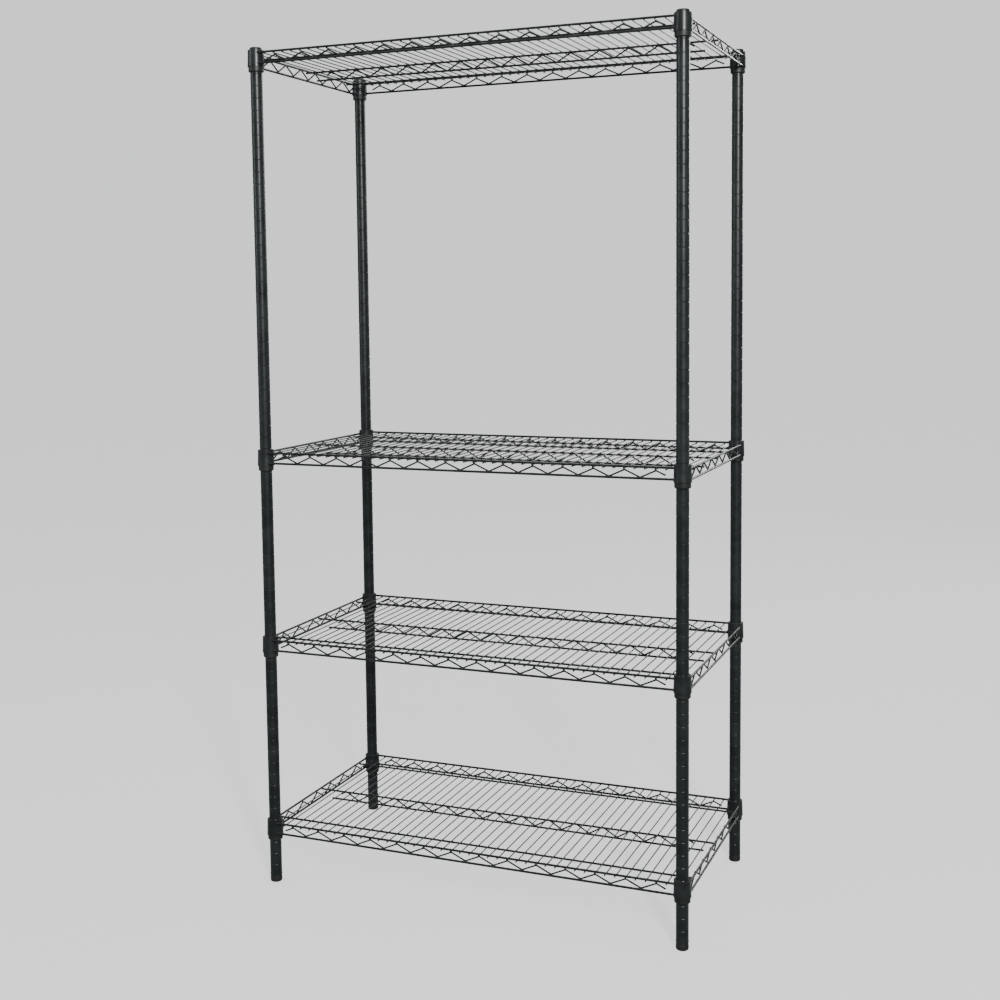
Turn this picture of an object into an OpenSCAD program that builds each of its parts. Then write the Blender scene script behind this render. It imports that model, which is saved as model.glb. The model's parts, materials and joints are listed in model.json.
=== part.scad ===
// Free-standing wire shelving rack: four grooved tube posts carry four welded
// wire shelves on tapered split sleeves.
// X runs along the shelves, +Y is the back, +Z is up. The origin is on the floor
// under the middle of the rack.

/* [Rack] */
// Distance between post axes along the shelves
post_span_x = 915; // [910:1:960]
// Distance between post axes from front to back
post_span_y = 462; // [460:1:500]
// Height from the floor to the top of the caps
rack_h = 1797; // [1790:0.5:1799]

/* [Posts] */
// Outside diameter of a post
post_d = 25.4; // [24:0.1:26]
// Wall thickness of a post
post_wall = 1.2; // [1:0.1:1.5]
// Distance from one groove to the next
groove_pitch = 25.4; // [25:0.1:26]
// Depth of a rolled groove
groove_depth = 0.5; // [0.4:0.1:0.8]
// Width of a rolled groove
groove_w = 2.6; // [2:0.1:3]
// Height of the first groove above the floor
first_groove_z = 40.6; // [38:0.1:42]

/* [Shelves] */
// Groove that holds each shelf's sleeves, counted from 0 at the bottom
shelf_grooves = [3, 19, 35, 68]; // [0:1:68]
// Distance between crowns of the long zigzags, which is three surface wires
long_pitch = 62.7; // [60:0.1:62.7]
// Distance between crowns of the side zigzags
side_pitch = 64.5; // [62:0.5:64.5]
// Distance from the post axes out to the rails
rail_out = 11.5; // [10.5:0.5:12.5]
// Distance from the front and rear rails in to the inner wires
inner_in = 55; // [50:1:60]

/* [Wires] */
// Diameter of the outer rails
rail_d = 4.8; // [4.6:0.1:5]
// Diameter of the surface wires
deck_d = 2.6; // [2:0.1:3]
// Diameter of the inner wires and of the centre rib's rails
inner_d = 4.4; // [4:0.1:4.8]
// Diameter of the zigzag wires
zig_d = 3.5; // [3:0.1:3.6]

/* [Sleeves and collars] */
// Height of a split sleeve
sleeve_h = 45; // [43:0.5:46]
// Height of the sleeve's lip below the collar
lip_h = 11; // [9:0.5:12]
// Radius of the sleeve at the lip
lip_r = 16.2; // [16:0.1:16.6]
// How much narrower the sleeve is at its top, on the radius
sleeve_taper = 1; // [0.8:0.1:1.2]
// Wall thickness of a collar
collar_wall = 1.6; // [1.4:0.1:2]

/* [Feet and caps] */
// Diameter of a levelling foot
foot_d = 25.6; // [25:0.1:28]
// Height of a levelling foot's base
foot_h = 14.5; // [12:0.5:15]
// How far a cap stands above its post
cap_h = 5; // [4:0.5:6]

/* [Hidden] */
CURVE = 48;
WIRE_CURVE = 20;
post_r = post_d / 2;
bore_r = post_r - post_wall;
half_x = post_span_x / 2;
half_y = post_span_y / 2;
CORNERS = [[-1, -1], [1, -1], [1, 1], [-1, 1]];
FL = 0;
FR = 1;
RR = 2;
RL = 3;

// Stack at the bottom of a post: foot, gap, insert flange, post
foot_gap = 0.3;
flange_h = 2.5;
flange_r = 13;
insert_len = 30;
insert_z = foot_h + foot_gap;
post_z = insert_z + flange_h;
post_top = rack_h - cap_h;
groove_count = floor((post_top - groove_w - first_groove_z) / groove_pitch) + 1;
stud_r = 4;
stud_clear = 0.08;
stud_z = 5;
stud_top = 43;
press_gap = 0.02;

// Sleeve and collar: a shared taper with a running gap
seat_drop = 21.8;
split_gap_deg = 2.5;
ridge_h = 1.6;
sleeve_gap = 0.05;
taper_gap = 0.1;
collar_h = sleeve_h - lip_h;

// Heights above the bottom of a shelf's sleeves
top_rail_z = 39;
rail_gap_z = 22;
rib_gap_z = 18.5;
side_gap_z = 21.7;
bottom_rail_z = top_rail_z - rail_gap_z;
deck_z = top_rail_z - (rail_d + deck_d) / 2;
inner_z = deck_z - (deck_d + inner_d) / 2;
rib_bottom_z = inner_z - rib_gap_z;
side_top_z = inner_z + (inner_d + rail_d) / 2;
side_bottom_z = side_top_z - side_gap_z;

// Plan positions of the wires
rail_y = half_y + rail_out;
rail_x = half_x + rail_out;
inner_y = rail_y - inner_in;
deck_count = 44;
deck_pitch = long_pitch / 3;
deck_tip = 0.8;
inner_tip = 1;
inner_half = rail_x + inner_tip;
deck_outer_x = (deck_count / 2 - 0.5) * deck_pitch;
deck_outer_gap = 0.2;
deck_outer_stop = lip_r + taper_gap + collar_wall + deck_outer_gap;
deck_outer_len = post_span_y - 2 * deck_outer_stop;
rib_bottom_in = 15;
rib_bottom_half = half_x - rib_bottom_in;
weld_gap = 0.02;

// Zigzags: heights of the crowns' centrelines and the gap at the welds
long_crowns = 14;
side_crowns = 7;
long_top_gap = 0.25;
long_top_z = deck_z - (deck_d + zig_d) / 2 - long_top_gap;
long_crown_in = 1.7;
long_bottom_z = bottom_rail_z + long_crown_in;
crown_gap = 0.08;
side_crown_in = 2.2;
rib_crown_in = 1;
rail_zigzag_end = 0.6;
rib_zigzag_end = 0.4;

STEEL = [0.10, 0.11, 0.11];
PLASTIC = [0.07, 0.07, 0.08];
ZINC = [0.62, 0.63, 0.64];

// Height of the bottom of a shelf's sleeves; n is the shelf, 0 at the bottom
function shelf_z(n) = first_groove_z + shelf_grooves[n] * groove_pitch - seat_drop;

// Radius of the shared taper at a height above the sleeve's bottom
function taper_r(z) = lip_r - sleeve_taper * max(0, z - lip_h) / collar_h;

// Outline of one groove in a post's outer wall, from below upward
function groove_outline(z) = [
    [post_r, z - groove_w / 2],
    [post_r - groove_depth, z - groove_w / 6],
    [post_r - groove_depth, z + groove_w / 6],
    [post_r, z + groove_w / 2],
];

module at_corner(i) {
    translate([CORNERS[i][0] * half_x, CORNERS[i][1] * half_y, 0]) children();
}

// A straight wire of diameter d along X from x0 to x1, then one along Y from y0 to y1
module wire_x(d, x0, x1) {
    translate([x0, 0, 0]) rotate([0, 90, 0]) cylinder(d = d, h = x1 - x0, $fn = WIRE_CURVE);
}

module wire_y(d, y0, y1) {
    translate([0, y0, 0]) rotate([-90, 0, 0]) cylinder(d = d, h = y1 - y0, $fn = WIRE_CURVE);
}

// ---- posts, caps and feet

module post(i) {
    outline = concat(
        [[bore_r, post_z], [post_r, post_z]],
        [for (k = [0 : groove_count - 1]) each groove_outline(first_groove_z + k * groove_pitch)],
        [[post_r, post_top], [bore_r, post_top]]
    );
    color(STEEL) at_corner(i) rotate_extrude($fn = CURVE) polygon(outline);
}

// Round plastic cap with a plug inside the post
module cap(i) {
    edge_r = 3;
    brim_r = 12.9;
    plug_len = 16;
    plug_r = bore_r - press_gap;
    color(PLASTIC) at_corner(i) translate([0, 0, post_top]) rotate_extrude($fn = CURVE) union() {
        square([brim_r, cap_h - edge_r]);
        square([brim_r - edge_r, cap_h]);
        intersection() {
            translate([brim_r - edge_r, cap_h - edge_r]) circle(r = edge_r, $fn = CURVE);
            square([brim_r, cap_h]);
        }
        translate([0, -plug_len]) square([plug_r, plug_len]);
    }
}

// Threaded plastic insert pressed into the bottom of a post
module insert(i) {
    body_r = bore_r - press_gap;
    color(PLASTIC) at_corner(i) translate([0, 0, insert_z]) rotate_extrude($fn = CURVE) polygon([
        [stud_r + stud_clear, 0],
        [flange_r, 0],
        [flange_r, flange_h],
        [body_r, flange_h],
        [body_r, insert_len],
        [stud_r + stud_clear, insert_len],
    ]);
}

// Base of a levelling foot, with a socket for its stud
module foot(i) {
    edge_r = 3;
    waist_r = 12.1;
    waist_z = 9;
    foot_r = foot_d / 2;
    color(PLASTIC) at_corner(i) difference() {
        rotate_extrude($fn = CURVE) union() {
            polygon([
                [0, edge_r],
                [foot_r, edge_r],
                [foot_r, waist_z],
                [waist_r, foot_h],
                [0, foot_h],
            ]);
            square([foot_r - edge_r, edge_r]);
            intersection() {
                translate([foot_r - edge_r, edge_r]) circle(r = edge_r, $fn = CURVE);
                square([foot_r, edge_r]);
            }
        }
        translate([0, 0, stud_z]) cylinder(r = stud_r + press_gap, h = foot_h, $fn = CURVE);
    }
}

module stud(i) {
    tip = 1;
    color(ZINC) at_corner(i) rotate_extrude($fn = CURVE) polygon([
        [0, stud_z],
        [stud_r, stud_z],
        [stud_r, stud_top - tip],
        [stud_r - tip, stud_top],
        [0, stud_top],
    ]);
}

// ---- sleeves and collars

// One half of a split sleeve, with the ridge that snaps into a groove
module sleeve_half() {
    foot_cut = 1.6;
    mouth_cut = 0.6;
    bore = post_r + sleeve_gap;
    rotate([0, 0, split_gap_deg / 2]) rotate_extrude(angle = 180 - split_gap_deg, $fn = CURVE) polygon([
        [bore, 0],
        [lip_r - foot_cut, 0],
        [lip_r, foot_cut],
        [lip_r, lip_h],
        [taper_r(sleeve_h - mouth_cut), sleeve_h - mouth_cut],
        [taper_r(sleeve_h) - mouth_cut, sleeve_h],
        [bore, sleeve_h],
        [bore, seat_drop + ridge_h / 2],
        [bore - groove_depth, seat_drop + ridge_h / 6],
        [bore - groove_depth, seat_drop - ridge_h / 6],
        [bore, seat_drop - ridge_h / 2],
    ]);
}

// Eight half sleeves; the split faces along the shelf
module sleeves(n) {
    color(PLASTIC) for (i = [0 : 3]) at_corner(i) translate([0, 0, shelf_z(n)]) {
        sleeve_half();
        rotate([0, 0, 180]) sleeve_half();
    }
}

module collar() {
    rotate_extrude($fn = CURVE) polygon([
        [taper_r(lip_h) + taper_gap, lip_h],
        [taper_r(lip_h) + taper_gap + collar_wall, lip_h],
        [taper_r(sleeve_h) + taper_gap + collar_wall, sleeve_h],
        [taper_r(sleeve_h) + taper_gap, sleeve_h],
    ]);
}

module collars(n) {
    color(STEEL) for (i = [0 : 3]) at_corner(i) translate([0, 0, shelf_z(n)]) collar();
}

// Solid cones a hair larger than the collars, which trim the rails' ends
module collar_cutters() {
    for (i = [0 : 3]) at_corner(i) translate([0, 0, lip_h]) cylinder(
        r1 = taper_r(lip_h) + taper_gap + collar_wall + weld_gap,
        r2 = taper_r(sleeve_h) + taper_gap + collar_wall + weld_gap,
        h = collar_h,
        $fn = CURVE
    );
}

// ---- shelf wires

module long_rails(n) {
    color(STEEL) translate([0, 0, shelf_z(n)]) difference() {
        for (side = [-1, 1], z = [top_rail_z, bottom_rail_z]) {
            translate([0, side * rail_y, z]) wire_x(rail_d, -half_x, half_x);
        }
        collar_cutters();
    }
}

module side_rails(n) {
    color(STEEL) translate([0, 0, shelf_z(n)]) difference() {
        for (side = [-1, 1], z = [side_top_z, side_bottom_z]) {
            translate([side * rail_x, 0, z]) wire_y(rail_d, -half_y, half_y);
        }
        collar_cutters();
    }
}

module inner_wires(n) {
    color(STEEL) translate([0, 0, shelf_z(n) + inner_z]) for (side = [-1, 1]) {
        translate([0, side * inner_y, 0]) wire_x(inner_d, -inner_half, inner_half);
    }
}

module rib_rails(n) {
    color(STEEL) translate([0, 0, shelf_z(n)]) {
        translate([0, 0, inner_z]) wire_x(inner_d, -inner_half, inner_half);
        translate([0, 0, rib_bottom_z]) wire_x(inner_d, -rib_bottom_half, rib_bottom_half);
    }
}

// Surface wires across the shelf; the outermost pair stops short of the collars
module deck_wires(n) {
    reach = rail_y + rail_d / 2 + deck_tip;
    color(STEEL) translate([0, 0, shelf_z(n) + deck_z]) for (k = [0 : deck_count - 1]) {
        outermost = k == 0 || k == deck_count - 1;
        half = outermost ? deck_outer_len / 2 : reach;
        translate([k * deck_pitch - deck_outer_x, 0, 0]) wire_y(deck_d, -half, half);
    }
}

// A bent wire in the XZ plane between heights low and high. It has the given number
// of crowns on the high or the low side, and a part of a leg past each end. The legs
// meet on the upright planes through the crowns.
module zigzag(pitch, crowns, low, high, crowns_high, end_part) {
    run = pitch / 2;
    leg_deg = atan((high - low) / run);
    bends = 2 * crowns - 1;
    first_x = -(bends - 1) / 2 * run;
    end_x = run * end_part - first_x;
    for (i = [-1 : bends - 1]) {
        x0 = first_x + i * run;
        rising = (i % 2 == 0) != crowns_high;
        cut_low = max(x0, -end_x);
        cut_high = min(x0 + run, end_x);
        intersection() {
            translate([x0 + run / 2, 0, (low + high) / 2])
                rotate([0, 90 - (rising ? leg_deg : -leg_deg), 0])
                    cylinder(d = zig_d, h = 2 * run, center = true, $fn = WIRE_CURVE);
            translate([cut_low, -run, low - run]) cube([cut_high - cut_low, 2 * run, 3 * run]);
        }
    }
}

// How far a crown's centreline stays beside a wire's, at a given height above or below it
function beside(d, height) = sqrt(pow((d + zig_d) / 2 + crown_gap, 2) - pow(height, 2));

module long_zigzags(n) {
    y = rail_y - beside(rail_d, long_crown_in);
    color(STEEL) translate([0, 0, shelf_z(n)]) for (side = [-1, 1]) {
        translate([0, side * y, 0])
            zigzag(long_pitch, long_crowns, long_bottom_z, long_top_z, true, rail_zigzag_end);
    }
}

module side_zigzags(n) {
    x = rail_x - beside(rail_d, side_crown_in);
    low = side_bottom_z + side_crown_in;
    high = side_top_z - side_crown_in;
    color(STEEL) translate([0, 0, shelf_z(n)]) for (side = [-1, 1]) {
        translate([side * x, 0, 0]) rotate([0, 0, 90])
            zigzag(side_pitch, side_crowns, low, high, false, rail_zigzag_end);
    }
}

module rib_zigzag(n) {
    low = rib_bottom_z + rib_crown_in;
    high = inner_z - rib_crown_in;
    color(STEEL) translate([0, beside(inner_d, rib_crown_in), shelf_z(n)])
        zigzag(long_pitch, long_crowns, low, high, true, rib_zigzag_end);
}

post(FL);  // post_front_left
post(FR);  // post_front_right
post(RR);  // post_rear_right
post(RL);  // post_rear_left
cap(FL);  // cap_front_left
cap(FR);  // cap_front_right
cap(RR);  // cap_rear_right
cap(RL);  // cap_rear_left
insert(FL);  // insert_front_left
insert(FR);  // insert_front_right
insert(RR);  // insert_rear_right
insert(RL);  // insert_rear_left
foot(FL);  // foot_front_left
foot(FR);  // foot_front_right
foot(RR);  // foot_rear_right
foot(RL);  // foot_rear_left
stud(FL);  // stud_front_left
stud(FR);  // stud_front_right
stud(RR);  // stud_rear_right
stud(RL);  // stud_rear_left
sleeves(0);  // shelf_1_sleeves
collars(0);  // shelf_1_collars
long_rails(0);  // shelf_1_long_rails
side_rails(0);  // shelf_1_side_rails
long_zigzags(0);  // shelf_1_long_zigzags
side_zigzags(0);  // shelf_1_side_zigzags
inner_wires(0);  // shelf_1_inner_wires
rib_rails(0);  // shelf_1_rib_rails
rib_zigzag(0);  // shelf_1_rib_zigzag
deck_wires(0);  // shelf_1_deck_wires
sleeves(1);  // shelf_2_sleeves
collars(1);  // shelf_2_collars
long_rails(1);  // shelf_2_long_rails
side_rails(1);  // shelf_2_side_rails
long_zigzags(1);  // shelf_2_long_zigzags
side_zigzags(1);  // shelf_2_side_zigzags
inner_wires(1);  // shelf_2_inner_wires
rib_rails(1);  // shelf_2_rib_rails
rib_zigzag(1);  // shelf_2_rib_zigzag
deck_wires(1);  // shelf_2_deck_wires
sleeves(2);  // shelf_3_sleeves
collars(2);  // shelf_3_collars
long_rails(2);  // shelf_3_long_rails
side_rails(2);  // shelf_3_side_rails
long_zigzags(2);  // shelf_3_long_zigzags
side_zigzags(2);  // shelf_3_side_zigzags
inner_wires(2);  // shelf_3_inner_wires
rib_rails(2);  // shelf_3_rib_rails
rib_zigzag(2);  // shelf_3_rib_zigzag
deck_wires(2);  // shelf_3_deck_wires
sleeves(3);  // shelf_4_sleeves
collars(3);  // shelf_4_collars
long_rails(3);  // shelf_4_long_rails
side_rails(3);  // shelf_4_side_rails
long_zigzags(3);  // shelf_4_long_zigzags
side_zigzags(3);  // shelf_4_side_zigzags
inner_wires(3);  // shelf_4_inner_wires
rib_rails(3);  // shelf_4_rib_rails
rib_zigzag(3);  // shelf_4_rib_zigzag
deck_wires(3);  // shelf_4_deck_wires
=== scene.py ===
import json
import math
import random

import bmesh
import bpy
from mathutils import Matrix, Vector


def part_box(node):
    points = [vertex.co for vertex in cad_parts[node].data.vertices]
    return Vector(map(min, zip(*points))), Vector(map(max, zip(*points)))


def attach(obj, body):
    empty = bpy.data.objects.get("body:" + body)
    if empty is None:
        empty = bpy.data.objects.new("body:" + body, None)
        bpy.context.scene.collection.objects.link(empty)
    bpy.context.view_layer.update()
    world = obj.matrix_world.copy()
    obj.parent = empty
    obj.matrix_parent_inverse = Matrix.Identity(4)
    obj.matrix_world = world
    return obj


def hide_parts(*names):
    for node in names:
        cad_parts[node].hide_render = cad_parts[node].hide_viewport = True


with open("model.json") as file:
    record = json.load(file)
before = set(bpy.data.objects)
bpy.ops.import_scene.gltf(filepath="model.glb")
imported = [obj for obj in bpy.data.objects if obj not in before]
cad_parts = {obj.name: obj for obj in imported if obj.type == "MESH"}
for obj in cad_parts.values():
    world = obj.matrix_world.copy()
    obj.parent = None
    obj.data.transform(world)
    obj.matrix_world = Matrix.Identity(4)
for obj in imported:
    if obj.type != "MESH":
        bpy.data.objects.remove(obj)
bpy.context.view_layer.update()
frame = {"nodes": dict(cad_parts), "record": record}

MM = 0.001
SHELVES = (1, 2, 3, 4)
CORNERS = ("front_left", "front_right", "rear_right", "rear_left")
SIDES = (-1, 1)

# Plan of the CAD model, in mm: the posts' axes, the rails outside them, the inner wires
post_lo, post_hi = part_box("post_rear_right")
post_axis = (post_lo + post_hi) / 2 / MM
HALF_X, HALF_Y = round(post_axis.x, 1), round(post_axis.y, 1)
RAIL_OUT = 11.5
RAIL_X, RAIL_Y = HALF_X + RAIL_OUT, HALF_Y + RAIL_OUT
INNER_IN = 55
INNER_Y = RAIL_Y - INNER_IN

# Wires of the CAD model, in mm: radii, and the row of deck wires
RAIL_R, DECK_R, INNER_R, ZIG_R = 2.4, 1.3, 2.2, 1.75
DECK_COUNT, DECK_PITCH = 44, 20.9

# Heights above the bottom of a shelf's sleeves, and the gaps that give two of them, in mm
TOP_RAIL_Z, BOTTOM_RAIL_Z = 39, 17
SIDE_GAP_Z, RIB_GAP_Z = 21.7, 18.5
DECK_Z = TOP_RAIL_Z - RAIL_R - DECK_R
INNER_Z = DECK_Z - DECK_R - INNER_R
SIDE_TOP_Z = INNER_Z + INNER_R + RAIL_R
SIDE_BOTTOM_Z = SIDE_TOP_Z - SIDE_GAP_Z
RIB_BOTTOM_Z = INNER_Z - RIB_GAP_Z

# Collars, in mm: radius at the bottom, how much less it is at the top, and from which
# height above the bottom of the sleeves over what height
COLLAR_R, COLLAR_TAPER, COLLAR_Z, COLLAR_H = 17.9, 1, 11, 34

# Zigzags, in mm: bends, half pitches, and how far the crowns stand in from the rails
BEND_R = 5
BEND_STEPS = 6
CROWN_GAP = 0.08
LONG_RUN, SIDE_RUN = 31.35, 32.25
LONG_BENDS, SIDE_BENDS = 27, 13
LONG_CROWN_IN, SIDE_CROWN_IN, RIB_CROWN_IN = 1.7, 2.2, 1
LONG_TOP_GAP = 0.25
# Parts of a run that a zigzag goes on past its last bends
RAIL_ZIGZAG_END, RIB_ZIGZAG_END = 0.6, 0.4

# Welds, in mm: half sizes along X, Y and Z
DECK_ON_RAIL = (1.8, 1.9, 0.7)
DECK_ON_INNER = (1.7, 1.7, 0.65)
CROWN_UNDER_DECK = (1.7, 1.6, 0.6)
CROWN_BY_RAIL = (2.6, 1.0, 1.3)
CROWN_BY_RIB = (2.4, 0.7, 1.1)
CROWN_BY_SIDE = (1.0, 2.6, 1.2)
LONG_RAIL_BEAD = (1.9, 3.0, 2.9)
SIDE_RAIL_BEAD = (3.0, 1.9, 2.9)
# Where the welds at the crowns sit: in or up from a rail's middle, or out past a crown
RAIL_WELD_IN, RAIL_WELD_UP = 2.2, 1
SIDE_WELD_IN, SIDE_WELD_OUT = 2.1, 1
RIB_WELD_OUT = 0.5
WELD_THIN, WELD_FAT = 0.93, 1.07
WELD_SEED = 100

# Threaded studs, in mm
STUD_R = 3.98
THREAD_DEPTH, THREAD_PITCH, THREAD_STEPS = 0.6, 1.25, 8
STUD_TIP = 0.9

# Scales of the noises in the coatings, per metre
MOTTLE_SCALE, DUST_SCALE, GLOSS_SCALE = 35.0, 90.0, 60.0
MOTTLE_DETAIL, GRAIN_DETAIL = 4.0, 2.0
# Most of a noise's values lie between these
NOISE_LOW, NOISE_HIGH = 0.3, 0.7
MOTTLE_LOW, MOTTLE_HIGH = 0.35, 0.7
# Dust starts on faces whose normal has the first Z, and is thickest where it has the second
DUST_UP = (0.6, 1.0)
DUST_COLOUR, MOST_DUST = (0.32, 0.31, 0.29), 0.02
# Height of the grain, in metres
GRAIN_DEPTH = 0.0002

# Studio
BACKDROP = (0.97, 0.98, 1.0)
BACKDROP_LEVEL = 1.1
FLOOR_ALBEDO = 0.05
FLOOR_ROUGHNESS = 0.9
FLOOR_RADIUS = 40
# Broad faint patches in the floor: noise per metre, its detail, and the darkest's albedo
# as a part of the lightest's
FLOOR_PATCH_SCALE, FLOOR_PATCH_DETAIL, FLOOR_DARKEST = 0.6, 2.0, 0.98


# ---- node helpers

def add_node(tree, kind, **values):
    node = tree.nodes.new(kind)
    for name, value in values.items():
        if name in node.inputs:
            node.inputs[name].default_value = value
        else:
            setattr(node, name, value)
    return node


def noise(tree, scale, detail=3.0):
    coords = add_node(tree, "ShaderNodeTexCoord")
    texture = add_node(tree, "ShaderNodeTexNoise", Scale=scale, Detail=detail)
    tree.links.new(coords.outputs["Object"], texture.inputs["Vector"])
    return texture.outputs["Fac"]


def ramp(tree, value, low, high, low_colour, high_colour):
    node = add_node(tree, "ShaderNodeValToRGB")
    first, last = node.color_ramp.elements
    first.position, last.position = low, high
    first.color, last.color = (*low_colour, 1), (*high_colour, 1)
    tree.links.new(value, node.inputs["Fac"])
    return node.outputs["Color"]


def to_range(tree, value, source, target):
    node = add_node(tree, "ShaderNodeMapRange")
    node.inputs["From Min"].default_value, node.inputs["From Max"].default_value = source
    node.inputs["To Min"].default_value, node.inputs["To Max"].default_value = target
    tree.links.new(value, node.inputs["Value"])
    return node.outputs["Result"]


def with_dust(tree, colour):
    """The colour with a thin patchy film of dust on the faces that look up."""
    geometry = add_node(tree, "ShaderNodeNewGeometry")
    split = add_node(tree, "ShaderNodeSeparateXYZ")
    tree.links.new(geometry.outputs["Normal"], split.inputs["Vector"])
    up = to_range(tree, split.outputs["Z"], DUST_UP, (0, MOST_DUST))
    patchy = add_node(tree, "ShaderNodeMath", operation="MULTIPLY")
    tree.links.new(up, patchy.inputs[0])
    tree.links.new(noise(tree, DUST_SCALE), patchy.inputs[1])
    # colour sockets of a Mix node: 0 is the factor, 6 and 7 the two colours, 2 the result
    dust = add_node(tree, "ShaderNodeMix", data_type="RGBA")
    dust.inputs[7].default_value = (*DUST_COLOUR, 1)
    tree.links.new(patchy.outputs["Value"], dust.inputs[0])
    tree.links.new(colour, dust.inputs[6])
    return dust.outputs[2]


def finish_material(name, dark, light, rough, grain, bump, specular=0.5, metallic=0.0):
    """Coated or moulded surface: mottled colour, uneven gloss, fine grain and a little dust."""
    mat = bpy.data.materials.new(name)
    mat.use_nodes = True
    tree = mat.node_tree
    shader = tree.nodes["Principled BSDF"]
    shader.inputs["Metallic"].default_value = metallic
    shader.inputs["Specular IOR Level"].default_value = specular
    mottle = noise(tree, MOTTLE_SCALE, MOTTLE_DETAIL)
    mottled = ramp(tree, mottle, MOTTLE_LOW, MOTTLE_HIGH, dark, light)
    tree.links.new(with_dust(tree, mottled), shader.inputs["Base Color"])
    gloss = to_range(tree, noise(tree, GLOSS_SCALE), (NOISE_LOW, NOISE_HIGH), rough)
    tree.links.new(gloss, shader.inputs["Roughness"])
    bump_node = add_node(tree, "ShaderNodeBump", Strength=bump, Distance=GRAIN_DEPTH)
    tree.links.new(noise(tree, grain, GRAIN_DETAIL), bump_node.inputs["Height"])
    tree.links.new(bump_node.outputs["Normal"], shader.inputs["Normal"])
    return mat


MATERIALS = {
    "post_coat": finish_material(
        "post_powder_coat", dark=(0.0015, 0.0019, 0.002), light=(0.003, 0.0037, 0.0038),
        rough=(0.3, 0.4), grain=900.0, bump=0.2, specular=0.05,
    ),
    "wire_coat": finish_material(
        "wire_powder_coat", dark=(0.0015, 0.0018, 0.0018), light=(0.003, 0.0035, 0.0035),
        rough=(0.34, 0.46), grain=1100.0, bump=0.2, specular=0.04,
    ),
    "collar_coat": finish_material(
        "collar_powder_coat", dark=(0.0015, 0.0019, 0.002), light=(0.0032, 0.0039, 0.0039),
        rough=(0.3, 0.4), grain=850.0, bump=0.25, specular=0.05,
    ),
    "sleeve_plastic": finish_material(
        "sleeve_plastic", dark=(0.0018, 0.002, 0.002), light=(0.0035, 0.0038, 0.0038),
        rough=(0.4, 0.52), grain=1500.0, bump=0.2, specular=0.05,
    ),
    "black_plastic": finish_material(
        "cap_plastic", dark=(0.0018, 0.0019, 0.0019), light=(0.0035, 0.0037, 0.0037),
        rough=(0.36, 0.48), grain=1400.0, bump=0.25, specular=0.05,
    ),
    "foot_plastic": finish_material(
        "foot_plastic", dark=(0.0018, 0.0018, 0.0018), light=(0.004, 0.0039, 0.0037),
        rough=(0.45, 0.6), grain=1300.0, bump=0.3, specular=0.05,
    ),
    "zinc_stud": finish_material(
        "zinc_plate", dark=(0.42, 0.43, 0.44), light=(0.6, 0.61, 0.6),
        rough=(0.25, 0.4), grain=1000.0, bump=0.2, metallic=1.0,
    ),
}

for part in frame["record"]["subparts"]:
    slots = frame["nodes"][part["node"]].data.materials
    slots.clear()
    slots.append(MATERIALS[part["material_slot"]])


# ---- mesh helpers, all in mm until the mesh is made

def new_piece(name, bm, body, slot):
    bmesh.ops.recalc_face_normals(bm, faces=bm.faces)
    bmesh.ops.scale(bm, vec=(MM, MM, MM), verts=bm.verts)
    mesh = bpy.data.meshes.new(name)
    bm.to_mesh(mesh)
    bm.free()
    # the round ends of wires and rods stay flat
    for polygon in mesh.polygons:
        polygon.use_smooth = polygon.loop_total < 5
    mesh.materials.append(MATERIALS[slot])
    piece = bpy.data.objects.new(name, mesh)
    bpy.context.scene.collection.objects.link(piece)
    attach(piece, body)
    return piece


def skin(bm, rings):
    """Faces between rings of corners, and a face over each end."""
    sides = len(rings[0])
    for low, high in zip(rings, rings[1:]):
        for k in range(sides):
            bm.faces.new((low[k], low[(k + 1) % sides], high[(k + 1) % sides], high[k]))
    for ring in (rings[0], rings[-1]):
        bm.faces.new(ring)


def sweep(bm, path, normal, radius, sides=12):
    """A round wire along a flat path; normal is square to the path's plane."""
    rings = []
    for i, point in enumerate(path):
        before = path[max(i - 1, 0)]
        after = path[min(i + 1, len(path) - 1)]
        across = (after - before).normalized().cross(normal)
        rings.append([
            bm.verts.new(point + radius * (math.cos(a) * normal + math.sin(a) * across))
            for a in (2 * math.pi * k / sides for k in range(sides))
        ])
    skin(bm, rings)


def arc(before, corner, after):
    """Points of the arc that rounds a corner of a path."""
    into, out = (corner - before).normalized(), (after - corner).normalized()
    half = into.angle(out) / 2
    tangent = BEND_R * math.tan(half)
    start, end = corner - into * tangent, corner + out * tangent
    centre = corner + (out - into).normalized() * (BEND_R / math.cos(half))
    u, v = (start - centre).normalized(), (end - centre).normalized()
    points = []
    for k in range(BEND_STEPS + 1):
        t = k / BEND_STEPS
        w = (u * math.sin((1 - t) * 2 * half) + v * math.sin(t * 2 * half)) / math.sin(2 * half)
        points.append(centre + w * BEND_R)
    return points


def bent_path(run, bends, low, high, first_high, end_part):
    """(along, height) points of a zigzag whose bends are arcs that just reach low and high."""
    tilt = math.atan((high - low) / run)
    over = BEND_R * (1 / math.cos(tilt) - 1)
    first = -(bends - 1) / 2 * run
    level = [high + over if (i % 2 == 0) == first_high else low - over for i in range(bends)]
    corners = [Vector((first + i * run, level[i])) for i in range(bends)]
    step = run * end_part
    start_slope = (level[1] - level[0]) / run
    start = corners[0] + Vector((-step, start_slope * step))
    end_slope = (level[-2] - level[-1]) / run
    end = corners[-1] + Vector((step, end_slope * step))
    chain = [start, *corners, end]
    path = [start]
    for before, corner, after in zip(chain, chain[1:], chain[2:]):
        path += arc(before, corner, after)
    path.append(end)
    return path


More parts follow.
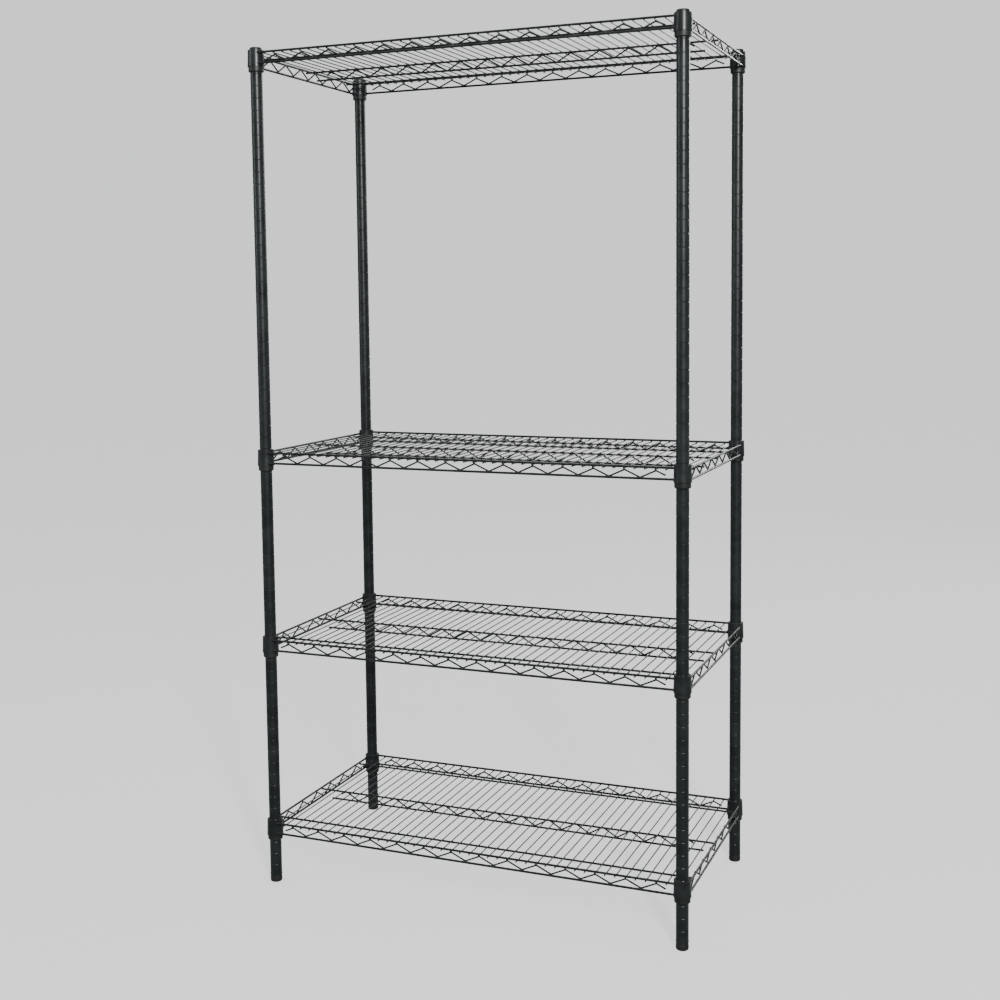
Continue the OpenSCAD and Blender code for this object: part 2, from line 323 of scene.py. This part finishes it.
def ball(rings, sides):
    """Corners and faces of a unit ball, as the pattern for the welds."""
    corners = [Vector((0, 0, 1))]
    for r in range(1, rings):
        a = math.pi * r / rings
        for k in range(sides):
            b = 2 * math.pi * k / sides
            corners.append(Vector((math.sin(a) * math.cos(b), math.sin(a) * math.sin(b), math.cos(a))))
    corners.append(Vector((0, 0, -1)))
    last = len(corners) - 1
    lowest = 1 + (rings - 2) * sides
    faces = []
    for k in range(sides):
        n = (k + 1) % sides
        faces.append((0, 1 + k, 1 + n))
        for r in range(rings - 2):
            a, b = 1 + r * sides, 1 + (r + 1) * sides
            faces.append((a + k, b + k, b + n, a + n))
        faces.append((lowest + k, last, lowest + n))
    return corners, faces


NUGGET, BEAD = ball(5, 8), ball(8, 12)


def weld(bm, centre, size, rng, pattern=NUGGET):
    """A small uneven weld."""
    corners, faces = pattern
    made = []
    for corner in corners:
        k = rng.uniform(WELD_THIN, WELD_FAT)
        made.append(bm.verts.new([m + a * b * k for m, a, b in zip(centre, corner, size)]))
    for face in faces:
        bm.faces.new([made[i] for i in face])


# ---- zigzag wires, bent instead of mitred; base is the height of a shelf's sleeves

def beside(radius, height):
    """How far a crown's centreline stays beside a wire's."""
    return math.sqrt((radius + ZIG_R + CROWN_GAP) ** 2 - height ** 2)


LONG_Y = RAIL_Y - beside(RAIL_R, LONG_CROWN_IN)
SIDE_X = RAIL_X - beside(RAIL_R, SIDE_CROWN_IN)
RIB_Y = beside(INNER_R, RIB_CROWN_IN)


def long_heights(base):
    return base + BOTTOM_RAIL_Z + LONG_CROWN_IN, base + DECK_Z - DECK_R - ZIG_R - LONG_TOP_GAP


def side_heights(base):
    return base + SIDE_BOTTOM_Z + SIDE_CROWN_IN, base + SIDE_TOP_Z - SIDE_CROWN_IN


def rib_heights(base):
    return base + RIB_BOTTOM_Z + RIB_CROWN_IN, base + INNER_Z - RIB_CROWN_IN


def zigzag_along_x(bm, y, low, high, end_part):
    bends = bent_path(LONG_RUN, LONG_BENDS, low, high, True, end_part)
    sweep(bm, [Vector((p.x, y, p.y)) for p in bends], Vector((0, 1, 0)), ZIG_R)


def zigzag_along_y(bm, x, low, high, end_part):
    bends = bent_path(SIDE_RUN, SIDE_BENDS, low, high, False, end_part)
    sweep(bm, [Vector((x, p.x, p.y)) for p in bends], Vector((1, 0, 0)), ZIG_R)


def long_zigzags(n, base):
    bm = bmesh.new()
    for side in SIDES:
        zigzag_along_x(bm, side * LONG_Y, *long_heights(base), RAIL_ZIGZAG_END)
    wires = new_piece(f"shelf_{n}_long_bent_wires", bm, f"shelf_{n}", "wire_coat")
    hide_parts(f"shelf_{n}_long_zigzags")


def side_zigzags(n, base):
    bm = bmesh.new()
    for side in SIDES:
        zigzag_along_y(bm, side * SIDE_X, *side_heights(base), RAIL_ZIGZAG_END)
    wires = new_piece(f"shelf_{n}_side_bent_wires", bm, f"shelf_{n}", "wire_coat")
    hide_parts(f"shelf_{n}_side_zigzags")


def rib_zigzag(n, base):
    bm = bmesh.new()
    zigzag_along_x(bm, RIB_Y, *rib_heights(base), RIB_ZIGZAG_END)
    wire = new_piece(f"shelf_{n}_rib_bent_wire", bm, f"shelf_{n}", "wire_coat")
    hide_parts(f"shelf_{n}_rib_zigzag")


# ---- resistance welds where wires cross or lie side by side, and beads at the collars

def centred(count, pitch):
    """Numbered places of a row with its middle at 0."""
    return [(k, (k - (count - 1) / 2) * pitch) for k in range(count)]


def deck_welds(bm, base, rng):
    for k, x in centred(DECK_COUNT, DECK_PITCH):
        # the outermost deck wires stop short of the rails, at the collars
        if 0 < k < DECK_COUNT - 1:
            for y in (-RAIL_Y, RAIL_Y):
                weld(bm, (x, y, base + TOP_RAIL_Z - RAIL_R), DECK_ON_RAIL, rng)
        for y in (-INNER_Y, 0, INNER_Y):
            weld(bm, (x, y, base + INNER_Z + INNER_R), DECK_ON_INNER, rng)


def crown_welds_along_x(bm, base, rng):
    long_high = long_heights(base)[1]
    rib_low, rib_high = rib_heights(base)
    for k, x in centred(LONG_BENDS, LONG_RUN):
        up = k % 2 == 0
        for side in SIDES:
            if up:
                weld(bm, (x, side * LONG_Y, long_high + ZIG_R), CROWN_UNDER_DECK, rng)
            else:
                y = side * (RAIL_Y - RAIL_WELD_IN)
                weld(bm, (x, y, base + BOTTOM_RAIL_Z + RAIL_WELD_UP), CROWN_BY_RAIL, rng)
        z = (rib_high + RIB_WELD_OUT) if up else (rib_low - RIB_WELD_OUT)
        weld(bm, (x, INNER_R, z), CROWN_BY_RIB, rng)


def crown_welds_along_y(bm, base, rng):
    side_low, side_high = side_heights(base)
    for k, y in centred(SIDE_BENDS, SIDE_RUN):
        z = (side_low - SIDE_WELD_OUT) if k % 2 == 0 else (side_high + SIDE_WELD_OUT)
        for side in SIDES:
            weld(bm, (side * (RAIL_X - SIDE_WELD_IN), y, z), CROWN_BY_SIDE, rng)


def collar_reach(z):
    """How far from a post's axis a rail meets the collar, at a height above the sleeve's bottom."""
    radius = COLLAR_R - COLLAR_TAPER * (z - COLLAR_Z) / COLLAR_H
    return math.sqrt(radius ** 2 - RAIL_OUT ** 2)


def collar_beads(bm, base, rng):
    for sx in SIDES:
        for sy in SIDES:
            for z in (TOP_RAIL_Z, BOTTOM_RAIL_Z):
                x = sx * (HALF_X - collar_reach(z))
                weld(bm, (x, sy * RAIL_Y, base + z), LONG_RAIL_BEAD, rng, BEAD)
            for z in (SIDE_TOP_Z, SIDE_BOTTOM_Z):
                y = sy * (HALF_Y - collar_reach(z))
                weld(bm, (sx * RAIL_X, y, base + z), SIDE_RAIL_BEAD, rng, BEAD)


def welds(n, base):
    rng = random.Random(WELD_SEED + n)
    bm = bmesh.new()
    deck_welds(bm, base, rng)
    crown_welds_along_x(bm, base, rng)
    crown_welds_along_y(bm, base, rng)
    collar_beads(bm, base, rng)
    new_piece(f"shelf_{n}_welds", bm, f"shelf_{n}", "wire_coat")


for n in SHELVES:
    sleeve_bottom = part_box(f"shelf_{n}_sleeves")[0].z / MM
    long_zigzags(n, sleeve_bottom)
    side_zigzags(n, sleeve_bottom)
    rib_zigzag(n, sleeve_bottom)
    welds(n, sleeve_bottom)


# ---- threaded studs of the levelling feet

def threaded_rod(x, y, low, high, sides=24):
    """A rod with a one-start thread and a chamfered top."""
    bm = bmesh.new()
    count = round((high - low) / (THREAD_PITCH / THREAD_STEPS))
    rings = []
    for i in range(count + 1):
        z = low + (high - low) * i / count
        ring = []
        for k in range(sides):
            turn = k / sides
            phase = (z / THREAD_PITCH - turn) % 1
            r = STUD_R - THREAD_DEPTH * abs(2 * phase - 1)
            if high - z < STUD_TIP:
                r = min(r, STUD_R - STUD_TIP + (high - z))
            a = 2 * math.pi * turn
            ring.append(bm.verts.new((x + r * math.cos(a), y + r * math.sin(a), z)))
        rings.append(ring)
    skin(bm, rings)
    return bm


for corner in CORNERS:
    stud_lo, stud_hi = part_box(f"stud_{corner}")
    middle = (stud_lo + stud_hi) / 2 / MM
    rod = threaded_rod(middle.x, middle.y, stud_lo.z / MM, stud_hi.z / MM)
    thread = new_piece(f"thread_{corner}", rod, f"leveller_{corner}", "zinc_stud")
    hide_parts(f"stud_{corner}")


# ---- floor, light and camera

def lit_floor():
    """White acrylic lit from below, as bright as the backdrop, so that it runs into it."""
    mat = bpy.data.materials.new("lit_floor")
    mat.use_nodes = True
    tree = mat.node_tree
    shader = tree.nodes["Principled BSDF"]
    colour = [FLOOR_ALBEDO] * 3
    darker = [c * FLOOR_DARKEST for c in colour]
    patches = noise(tree, FLOOR_PATCH_SCALE, FLOOR_PATCH_DETAIL)
    shade = ramp(tree, patches, NOISE_LOW, NOISE_HIGH, darker, colour)
    tree.links.new(shade, shader.inputs["Base Color"])
    shader.inputs["Roughness"].default_value = FLOOR_ROUGHNESS
    shader.inputs["Specular IOR Level"].default_value = 0
    shader.inputs["Emission Color"].default_value = (*BACKDROP, 1)
    shader.inputs["Emission Strength"].default_value = BACKDROP_LEVEL * (1 - FLOOR_ALBEDO)
    return mat


bm = bmesh.new()
bmesh.ops.create_circle(bm, cap_ends=True, segments=96, radius=FLOOR_RADIUS)
floor_mesh = bpy.data.meshes.new("floor")
bm.to_mesh(floor_mesh)
bm.free()
floor_mesh.materials.append(lit_floor())
floor = bpy.data.objects.new("floor", floor_mesh)
bpy.context.scene.collection.objects.link(floor)

world = bpy.data.worlds.new("studio")
world.use_nodes = True
background = world.node_tree.nodes["Background"]
background.inputs["Color"].default_value = (*BACKDROP, 1)
background.inputs["Strength"].default_value = BACKDROP_LEVEL
bpy.context.scene.world = world


def softbox(name, place, aim, size, power, colour):
    light = bpy.data.lights.new(name, "AREA")
    light.shape = "RECTANGLE"
    light.size, light.size_y = size
    light.energy = power
    light.color = colour
    lamp = bpy.data.objects.new(name, light)
    lamp.location = place
    lamp.rotation_euler = (Vector(aim) - Vector(place)).to_track_quat("-Z", "Y").to_euler()
    bpy.context.scene.collection.objects.link(lamp)


# The key light is aimed high, so that the posts shine near the top and darken downward
MIDDLE, UPPER_PART = (0, 0, 0.9), (0, 0, 1.6)
softbox("key", (2.6, -3.9, 2.9), UPPER_PART, size=(0.45, 1.3), power=2000, colour=(1, 1, 0.99))
softbox("fill", (-3.6, -2.6, 2.2), MIDDLE, size=(0.7, 2.4), power=260, colour=(0.92, 0.97, 1))
softbox("top", (0, 0, 4.4), MIDDLE, size=(3, 2), power=300, colour=(1, 1, 1))
softbox("back", (1.5, 3.8, 2.6), MIDDLE, size=(1.0, 2.0), power=240, colour=(1, 1, 1))

# Camera at the front right, turned to the left and tipped down
PLACE = (1.1281, -2.7924, 1.2707)
YAW, PITCH, ROLL = (math.radians(a) for a in (22.163, 4.998, -0.609))
FOCAL_MM, SENSOR_MM = 50.216, 36
SHIFT_Y = -0.08
CLIP_END = 100
cam_data = bpy.data.cameras.new("camera")
cam_data.lens = FOCAL_MM
cam_data.sensor_width = SENSOR_MM
cam_data.shift_y = SHIFT_Y
cam_data.clip_end = CLIP_END
camera = bpy.data.objects.new("camera", cam_data)
yaw = Matrix.Rotation(YAW, 4, "Z")
pitch = Matrix.Rotation(math.pi / 2 - PITCH, 4, "X")
roll = Matrix.Rotation(ROLL, 4, "Z")
camera.matrix_world = Matrix.Translation(PLACE) @ (yaw @ pitch @ roll)
bpy.context.scene.collection.objects.link(camera)
bpy.context.scene.camera = camera
